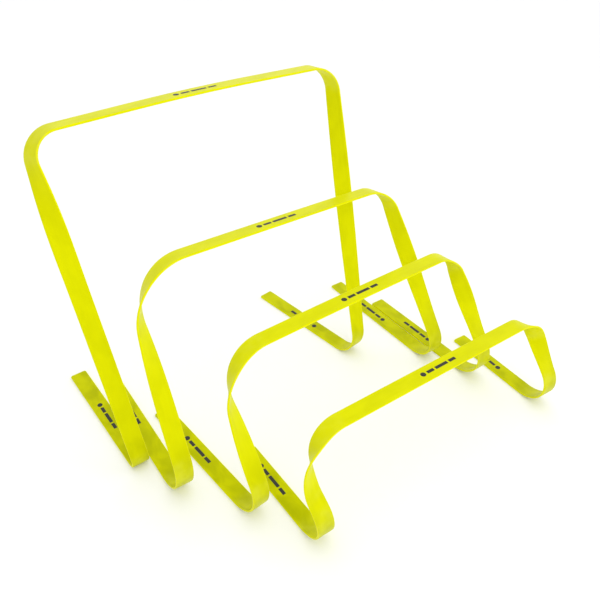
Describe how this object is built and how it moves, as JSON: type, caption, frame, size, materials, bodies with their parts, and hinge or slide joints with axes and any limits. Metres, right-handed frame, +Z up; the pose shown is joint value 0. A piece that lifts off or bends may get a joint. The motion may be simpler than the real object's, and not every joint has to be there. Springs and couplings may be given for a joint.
{
  "type": "agility hurdle set",
  "caption": "Nested set of graduated training hurdles, each a flat flexible plastic strip bent into feet, twisted legs and a crossbar.",
  "frame": {"origin": "on the floor, under the middle of the whole nested set's box", "axes": "+X to the right along the crossbars, +Y back along the feet, +Z up; the widest side runs along X"},
  "size_m": [0.6072, 0.5024, 0.4582],
  "materials": {
    "strip_plastic": "satin fluorescent lemon-yellow flexible plastic strip",
    "print_ink": "flat black printed ink"
  },
  "bodies": {
    "hurdle_18in_feet": {"hurdle_18in_left_foot": "strip_plastic", "hurdle_18in_left_bend": "strip_plastic", "hurdle_18in_right_bend": "strip_plastic", "hurdle_18in_right_foot": "strip_plastic", "hurdle_18in_left_foot_mark": "print_ink", "hurdle_18in_right_foot_mark": "print_ink"},
    "hurdle_18in_arch_body": {"hurdle_18in_arch": "strip_plastic", "hurdle_18in_bar_mark": "print_ink"},
    "hurdle_12in_feet": {"hurdle_12in_left_foot": "strip_plastic", "hurdle_12in_left_bend": "strip_plastic", "hurdle_12in_right_bend": "strip_plastic", "hurdle_12in_right_foot": "strip_plastic", "hurdle_12in_left_foot_mark": "print_ink", "hurdle_12in_right_foot_mark": "print_ink"},
    "hurdle_12in_arch_body": {"hurdle_12in_arch": "strip_plastic", "hurdle_12in_bar_mark": "print_ink"},
    "hurdle_9in_feet": {"hurdle_9in_left_foot": "strip_plastic", "hurdle_9in_left_bend": "strip_plastic", "hurdle_9in_right_bend": "strip_plastic", "hurdle_9in_right_foot": "strip_plastic", "hurdle_9in_left_foot_mark": "print_ink", "hurdle_9in_right_foot_mark": "print_ink"},
    "hurdle_9in_arch_body": {"hurdle_9in_arch": "strip_plastic", "hurdle_9in_bar_mark": "print_ink"},
    "hurdle_6in_feet": {"hurdle_6in_left_foot": "strip_plastic", "hurdle_6in_left_bend": "strip_plastic", "hurdle_6in_right_bend": "strip_plastic", "hurdle_6in_right_foot": "strip_plastic", "hurdle_6in_left_foot_mark": "print_ink", "hurdle_6in_right_foot_mark": "print_ink"},
    "hurdle_6in_arch_body": {"hurdle_6in_arch": "strip_plastic", "hurdle_6in_bar_mark": "print_ink"}
  },
  "joints": [
    {"name": "hurdle_18in_flex", "type": "hinge", "parent": "hurdle_18in_feet", "child": "hurdle_18in_arch_body", "pos_m": [-0.08243, 0.02372, 0.01434], "axis": [1, 0, 0], "range_deg": [-30, 8], "stiffness_Nm_per_rad": 2.5, "springref_deg": 2.11, "deforming": ["hurdle_18in_left_bend", "hurdle_18in_right_bend"]},
    {"name": "hurdle_12in_slide", "type": "slide", "parent": "hurdle_18in_feet", "child": "hurdle_12in_feet", "axis": [0, -1, 0], "range_m": [0, 0.3]},
    {"name": "hurdle_12in_flex", "type": "hinge", "parent": "hurdle_12in_feet", "child": "hurdle_12in_arch_body", "pos_m": [-0.02193, -0.05931, 0.02867], "axis": [1, 0, 0], "range_deg": [-8, 13], "stiffness_Nm_per_rad": 2.5, "springref_deg": 1.1, "deforming": ["hurdle_12in_left_bend", "hurdle_12in_right_bend"]},
    {"name": "hurdle_9in_slide", "type": "slide", "parent": "hurdle_12in_feet", "child": "hurdle_9in_feet", "axis": [0, -1, 0], "range_m": [0, 0.3]},
    {"name": "hurdle_9in_flex", "type": "hinge", "parent": "hurdle_9in_feet", "child": "hurdle_9in_arch_body", "pos_m": [0.02557, -0.14108, 0.03125], "axis": [1, 0, 0], "range_deg": [-12, 20], "stiffness_Nm_per_rad": 2.5, "springref_deg": 0.61, "deforming": ["hurdle_9in_left_bend", "hurdle_9in_right_bend"]},
    {"name": "hurdle_6in_slide", "type": "slide", "parent": "hurdle_9in_feet", "child": "hurdle_6in_feet", "axis": [0, -1, 0], "range_m": [0, 0.23]},
    {"name": "hurdle_6in_flex", "type": "hinge", "parent": "hurdle_6in_feet", "child": "hurdle_6in_arch_body", "pos_m": [0.06502, -0.23253, 0.03054], "axis": [1, 0, 0], "range_deg": [-25, 20], "stiffness_Nm_per_rad": 2.5, "springref_deg": 0.37, "deforming": ["hurdle_6in_left_bend", "hurdle_6in_right_bend"]}
  ]
}
